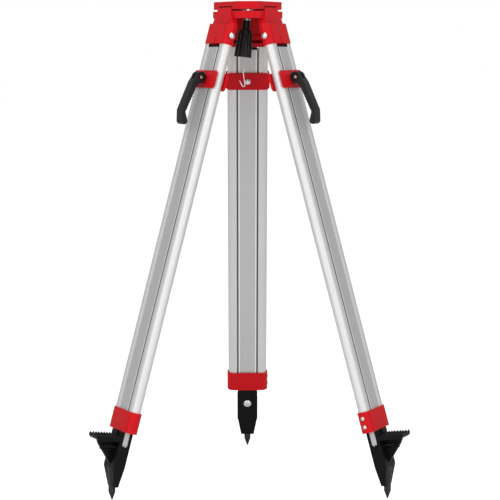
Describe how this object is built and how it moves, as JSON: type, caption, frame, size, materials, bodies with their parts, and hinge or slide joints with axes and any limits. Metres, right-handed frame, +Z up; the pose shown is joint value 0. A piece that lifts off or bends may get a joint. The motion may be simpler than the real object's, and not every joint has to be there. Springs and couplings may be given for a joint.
{
  "type": "surveyor tripod",
  "caption": "Standing tripod for a surveying instrument: flat red head with a sliding fixing screw, twin-rail aluminium legs that fold and draw out, lever clamps, treadle feet with spikes.",
  "frame": {"origin": "centre of the head's flat top face, where the instrument sits", "axes": "+Z up out of the head's top face; the rear leg points along +Y, the left and right legs towards -X -Y and +X -Y; the ground is at Z = -1.1 m with the legs closed up"},
  "size_m": [0.7112, 0.6159, 1.1],
  "materials": {
    "red_casting": "satin red powder coat on cast aluminium",
    "rail_aluminium": "satin anodised extrusion",
    "panel_aluminium": "fine brushed anodised extrusion",
    "black_nylon": "moulded, fine grain, matte",
    "zinc_plated": "bright zinc plating, satin",
    "dark_steel": "blackened steel, satin"
  },
  "bodies": {
    "head": {"head_plate": "red_casting", "head_body": "red_casting", "head_spacers": "black_nylon", "plate_screws": "zinc_plated", "arm_pivot": "zinc_plated", "hinge_bolts": "zinc_plated", "hinge_nuts": "zinc_plated"},
    "swing_arm": {"swing_arm": "zinc_plated"},
    "carrier": {"screw_carrier": "zinc_plated"},
    "bush": {"ball_bush": "dark_steel"},
    "screw_lift": {"screw_washer": "zinc_plated"},
    "screw": {"instrument_screw": "zinc_plated", "screw_knob": "black_nylon"},
    "hook": {"hook_chain": "zinc_plated", "plumb_hook": "zinc_plated"},
    "left_upper_leg": {"left_shoulder": "red_casting", "left_rail_a": "rail_aluminium", "left_rail_b": "rail_aluminium", "left_collar": "red_casting", "left_collar_rivets": "zinc_plated"},
    "left_lower_leg": {"left_inner_leg": "panel_aluminium", "left_top_cap": "black_nylon", "left_clamp_inner_plate": "red_casting", "left_clamp_outer_plate": "red_casting", "left_clamp_bolt": "zinc_plated", "left_foot": "black_nylon", "left_foot_rivet": "zinc_plated", "left_spike": "dark_steel"},
    "left_lever": {"left_clamp_lever": "black_nylon", "left_lever_pin": "zinc_plated"},
    "right_upper_leg": {"right_shoulder": "red_casting", "right_rail_a": "rail_aluminium", "right_rail_b": "rail_aluminium", "right_collar": "red_casting", "right_collar_rivets": "zinc_plated"},
    "right_lower_leg": {"right_inner_leg": "panel_aluminium", "right_top_cap": "black_nylon", "right_clamp_inner_plate": "red_casting", "right_clamp_outer_plate": "red_casting", "right_clamp_bolt": "zinc_plated", "right_foot": "black_nylon", "right_foot_rivet": "zinc_plated", "right_spike": "dark_steel"},
    "right_lever": {"right_clamp_lever": "black_nylon", "right_lever_pin": "zinc_plated"},
    "rear_upper_leg": {"rear_shoulder": "red_casting", "rear_rail_a": "rail_aluminium", "rear_rail_b": "rail_aluminium", "rear_collar": "red_casting", "rear_collar_rivets": "zinc_plated"},
    "rear_lower_leg": {"rear_inner_leg": "panel_aluminium", "rear_top_cap": "black_nylon", "rear_clamp_inner_plate": "red_casting", "rear_clamp_outer_plate": "red_casting", "rear_clamp_bolt": "zinc_plated", "rear_foot": "black_nylon", "rear_foot_rivet": "zinc_plated", "rear_spike": "dark_steel"},
    "rear_lever": {"rear_clamp_lever": "black_nylon", "rear_lever_pin": "zinc_plated"}
  },
  "joints": [
    {"name": "left_leg_spread", "type": "hinge", "parent": "head", "child": "left_upper_leg", "pos_m": [-0.06062, -0.035, -0.076], "axis": [-0.5, 0.866, 0], "range_deg": [-16.3, 10]},
    {"name": "left_leg_draw", "type": "slide", "parent": "left_upper_leg", "child": "left_lower_leg", "axis": [-0.2431, -0.1403, -0.9598], "range_m": [0, 0.72]},
    {"name": "left_lever_swing", "type": "hinge", "parent": "left_lower_leg", "child": "left_lever", "pos_m": [-0.1105, -0.0638, -0.16751], "axis": [-0.5, 0.866, 0], "range_deg": [0, 110]},
    {"name": "right_leg_spread", "type": "hinge", "parent": "head", "child": "right_upper_leg", "pos_m": [0.06062, -0.035, -0.076], "axis": [-0.5, -0.866, 0], "range_deg": [-16.3, 10]},
    {"name": "right_leg_draw", "type": "slide", "parent": "right_upper_leg", "child": "right_lower_leg", "axis": [0.2431, -0.1403, -0.9598], "range_m": [0, 0.72]},
    {"name": "right_lever_swing", "type": "hinge", "parent": "right_lower_leg", "child": "right_lever", "pos_m": [0.1105, -0.0638, -0.16751], "axis": [-0.5, -0.866, 0], "range_deg": [0, 110]},
    {"name": "rear_leg_spread", "type": "hinge", "parent": "head", "child": "rear_upper_leg", "pos_m": [0, 0.07, -0.076], "axis": [1, 0, 0], "range_deg": [-16.3, 10]},
    {"name": "rear_leg_draw", "type": "slide", "parent": "rear_upper_leg", "child": "rear_lower_leg", "axis": [0, 0.2807, -0.9598], "range_m": [0, 0.72]},
    {"name": "rear_lever_swing", "type": "hinge", "parent": "rear_lower_leg", "child": "rear_lever", "pos_m": [0, 0.1276, -0.16751], "axis": [1, 0, 0], "range_deg": [0, 110]},
    {"name": "arm_swing", "type": "hinge", "parent": "head", "child": "swing_arm", "pos_m": [0, 0.041, -0.0194], "axis": [0, 0, 1], "range_deg": [-8, 8]},
    {"name": "carrier_slide", "type": "slide", "parent": "swing_arm", "child": "carrier", "axis": [0, 1, 0], "range_m": [-0.012, 0.012]},
    {"name": "screw_lean", "type": "hinge", "parent": "carrier", "child": "bush", "pos_m": [0, 0, -0.0194], "axis": [0, -1, 0], "range_deg": [-1.5, 14.5]},
    {"name": "screw_lift", "type": "slide", "parent": "bush", "child": "screw_lift", "axis": [0.1132, 0, 0.9936], "range_m": [0, 0.0095]},
    {"name": "screw_turn", "type": "hinge", "parent": "screw_lift", "child": "screw", "pos_m": [-0.00453, 0, -0.05914], "axis": [0.1132, 0, 0.9936], "continuous": true},
    {"name": "hook_swing", "type": "hinge", "parent": "screw", "child": "hook", "pos_m": [-0.01139, 0, -0.11935], "axis": [0, 1, 0], "range_deg": [-30, 30]}
  ]
}
